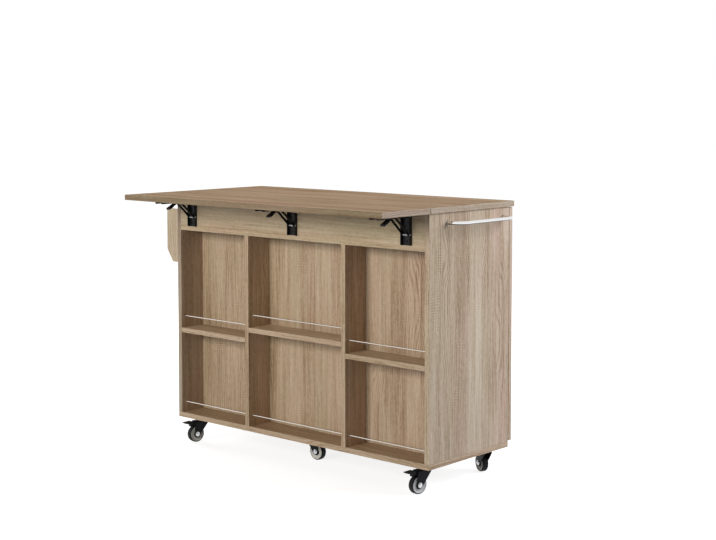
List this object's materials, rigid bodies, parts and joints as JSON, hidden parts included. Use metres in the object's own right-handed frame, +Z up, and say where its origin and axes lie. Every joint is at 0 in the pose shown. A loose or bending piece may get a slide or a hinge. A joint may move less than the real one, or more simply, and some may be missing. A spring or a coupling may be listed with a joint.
{
  "type": "drop leaf kitchen island",
  "caption": "Kitchen island on swivel casters with a folding drop leaf on locking brackets, open cubbies with rods, doors, drawers, a side rack and a towel bar.",
  "frame": {"origin": "on the floor, in the middle of the bounding box, drop leaf raised and everything closed", "axes": "+X along the island towards the towel bar, +Y towards the doors and drawers, -Y towards the drop leaf and cubbies, +Z up"},
  "size_m": [1.343, 0.7, 0.92],
  "materials": {
    "oak_laminate": "grey-brown sawn oak laminate with fine vertical grain, satin",
    "worktop": "grey-brown sawn oak laminate with grain along the top, satin",
    "drawer_board": "plain pale laminated drawer board, matt",
    "black_steel": "glossy black paint on pressed steel",
    "chrome_tube": "bright chrome",
    "bright_wire": "bright nickel on wire and knobs",
    "caster_steel": "black paint on pressed steel",
    "caster_wheel": "black tread on a pale grey plastic core"
  },
  "bodies": {
    "cabinet": {"base_board": "oak_laminate", "left_side_panel": "oak_laminate", "right_side_panel": "oak_laminate", "main_top": "worktop", "apron_rail": "oak_laminate", "cubby_back_panel": "oak_laminate", "cubby_divider_left": "oak_laminate", "cubby_divider_right": "oak_laminate", "cubby_shelf_left": "oak_laminate", "cubby_shelf_middle": "oak_laminate", "cubby_shelf_right": "oak_laminate", "upper_rod_left": "bright_wire", "upper_rod_middle": "bright_wire", "upper_rod_right": "bright_wire", "lower_rod": "bright_wire", "cabinet_partition": "oak_laminate", "cupboard_shelf": "oak_laminate", "towel_bar": "chrome_tube", "rack_front_end": "oak_laminate", "rack_back_end": "oak_laminate", "rack_floor": "oak_laminate", "rack_slat": "oak_laminate", "bracket_plate_left": "black_steel", "bracket_plate_middle": "black_steel", "bracket_plate_right": "black_steel"},
    "leaf": {"drop_leaf": "worktop", "bracket_arm_left": "black_steel", "bracket_arm_middle": "black_steel", "bracket_arm_right": "black_steel"},
    "brace_left": {"bracket_brace_left": "black_steel"},
    "brace_middle": {"bracket_brace_middle": "black_steel"},
    "brace_right": {"bracket_brace_right": "black_steel"},
    "lever_left": {"release_lever_left": "black_steel"},
    "lever_middle": {"release_lever_middle": "black_steel"},
    "lever_right": {"release_lever_right": "black_steel"},
    "door_left": {"left_door": "oak_laminate", "left_door_knob": "bright_wire"},
    "door_right": {"right_door": "oak_laminate", "right_door_knob": "bright_wire"},
    "drawer_bottom": {"bottom_drawer_front": "oak_laminate", "bottom_drawer_box": "drawer_board", "bottom_drawer_knob": "bright_wire"},
    "drawer_middle": {"middle_drawer_front": "oak_laminate", "middle_drawer_box": "drawer_board", "middle_drawer_knob": "bright_wire"},
    "drawer_top": {"top_drawer_front": "oak_laminate", "top_drawer_box": "drawer_board", "top_drawer_knob": "bright_wire"},
    "swivel_front_left": {"caster_fork_front_left": "caster_steel"},
    "wheel_front_left": {"caster_wheel_front_left": "caster_wheel"},
    "swivel_front_right": {"caster_fork_front_right": "caster_steel"},
    "wheel_front_right": {"caster_wheel_front_right": "caster_wheel"},
    "swivel_middle": {"caster_fork_middle": "caster_steel"},
    "wheel_middle": {"caster_wheel_middle": "caster_wheel"},
    "swivel_rear_left": {"caster_fork_rear_left": "caster_steel"},
    "wheel_rear_left": {"caster_wheel_rear_left": "caster_wheel"},
    "swivel_rear_right": {"caster_fork_rear_right": "caster_steel"},
    "wheel_rear_right": {"caster_wheel_rear_right": "caster_wheel"},
    "pedal_front_left": {"brake_pedal_front_left": "caster_steel"},
    "pedal_front_right": {"brake_pedal_front_right": "caster_steel"}
  },
  "joints": [
    {"name": "leaf_fold", "type": "hinge", "parent": "cabinet", "child": "leaf", "pos_m": [0, -0.124, 0.892], "axis": [1, 0, 0], "range_deg": [0, 90]},
    {"name": "brace_turn_left", "type": "hinge", "parent": "cabinet", "child": "brace_left", "pos_m": [-0.481, -0.124, 0.832], "axis": [1, 0, 0], "range_deg": [0, 132]},
    {"name": "brace_turn_middle", "type": "hinge", "parent": "cabinet", "child": "brace_middle", "pos_m": [0.0235, -0.124, 0.832], "axis": [1, 0, 0], "range_deg": [0, 132]},
    {"name": "brace_turn_right", "type": "hinge", "parent": "cabinet", "child": "brace_right", "pos_m": [0.5255, -0.124, 0.832], "axis": [1, 0, 0], "range_deg": [0, 132]},
    {"name": "lever_press_left", "type": "hinge", "parent": "leaf", "child": "lever_left", "pos_m": [-0.481, -0.194, 0.891], "axis": [-1, 0, 0], "range_deg": [0, 25.5]},
    {"name": "lever_press_middle", "type": "hinge", "parent": "leaf", "child": "lever_middle", "pos_m": [0.0235, -0.194, 0.891], "axis": [-1, 0, 0], "range_deg": [0, 25.5]},
    {"name": "lever_press_right", "type": "hinge", "parent": "leaf", "child": "lever_right", "pos_m": [0.5255, -0.194, 0.891], "axis": [-1, 0, 0], "range_deg": [0, 25.5]},
    {"name": "door_open_left", "type": "hinge", "parent": "cabinet", "child": "door_left", "pos_m": [-0.1725, 0.326, 0.504], "axis": [0, 0, 1], "range_deg": [0, 90]},
    {"name": "door_open_right", "type": "hinge", "parent": "cabinet", "child": "door_right", "pos_m": [0.6155, 0.326, 0.504], "axis": [0, 0, -1], "range_deg": [0, 105]},
    {"name": "drawer_slide_bottom", "type": "slide", "parent": "cabinet", "child": "drawer_bottom", "axis": [0, 1, 0], "range_m": [0, 0.25]},
    {"name": "drawer_slide_middle", "type": "slide", "parent": "cabinet", "child": "drawer_middle", "axis": [0, 1, 0], "range_m": [0, 0.25]},
    {"name": "drawer_slide_top", "type": "slide", "parent": "cabinet", "child": "drawer_top", "axis": [0, 1, 0], "range_m": [0, 0.25]},
    {"name": "swivel_turn_front_left", "type": "hinge", "parent": "cabinet", "child": "swivel_front_left", "pos_m": [-0.4985, -0.071, 0.082], "axis": [0, 0, 1], "continuous": true},
    {"name": "wheel_roll_front_left", "type": "hinge", "parent": "swivel_front_left", "child": "wheel_front_left", "pos_m": [-0.50289, -0.09256, 0.03], "axis": [0.9799, -0.1994, 0], "continuous": true},
    {"name": "pedal_press_front_left", "type": "hinge", "parent": "swivel_front_left", "child": "pedal_front_left", "pos_m": [-0.50049, -0.0808, 0.071], "axis": [0.9799, -0.1994, 0], "range_deg": [0, 12]},
    {"name": "swivel_turn_front_right", "type": "hinge", "parent": "cabinet", "child": "swivel_front_right", "pos_m": [0.5555, -0.071, 0.082], "axis": [0, 0, 1], "continuous": true},
    {"name": "wheel_roll_front_right", "type": "hinge", "parent": "swivel_front_right", "child": "wheel_front_right", "pos_m": [0.55111, -0.09256, 0.03], "axis": [0.9799, -0.1994, 0], "continuous": true},
    {"name": "pedal_press_front_right", "type": "hinge", "parent": "swivel_front_right", "child": "pedal_front_right", "pos_m": [0.55351, -0.0808, 0.071], "axis": [0.9799, -0.1994, 0], "range_deg": [0, 12]},
    {"name": "swivel_turn_middle", "type": "hinge", "parent": "cabinet", "child": "swivel_middle", "pos_m": [-0.0075, 0.014, 0.082], "axis": [0, 0, 1], "continuous": true},
    {"name": "wheel_roll_middle", "type": "hinge", "parent": "swivel_middle", "child": "wheel_middle", "pos_m": [0.0145, 0.014, 0.03], "axis": [0, 1, 0], "continuous": true},
    {"name": "swivel_turn_rear_left", "type": "hinge", "parent": "cabinet", "child": "swivel_rear_left", "pos_m": [-0.4985, 0.26, 0.082], "axis": [0, 0, 1], "continuous": true},
    {"name": "wheel_roll_rear_left", "type": "hinge", "parent": "swivel_rear_left", "child": "wheel_rear_left", "pos_m": [-0.51917, 0.26752, 0.03], "axis": [-0.342, -0.9397, 0], "continuous": true},
    {"name": "swivel_turn_rear_right", "type": "hinge", "parent": "cabinet", "child": "swivel_rear_right", "pos_m": [0.5555, 0.26, 0.082], "axis": [0, 0, 1], "continuous": true},
    {"name": "wheel_roll_rear_right", "type": "hinge", "parent": "swivel_rear_right", "child": "wheel_rear_right", "pos_m": [0.53564, 0.26947, 0.03], "axis": [-0.4305, -0.9026, 0], "continuous": true}
  ],
  "couplings": [
    {"joint": "brace_turn_left", "follows": "leaf_fold", "ratio": 1.4657},
    {"joint": "brace_turn_middle", "follows": "leaf_fold", "ratio": 1.4657},
    {"joint": "brace_turn_right", "follows": "leaf_fold", "ratio": 1.4657},
    {"joint": "lever_press_left", "follows": "leaf_fold", "ratio": 0.2778},
    {"joint": "lever_press_middle", "follows": "leaf_fold", "ratio": 0.2778},
    {"joint": "lever_press_right", "follows": "leaf_fold", "ratio": 0.2778}
  ]
}
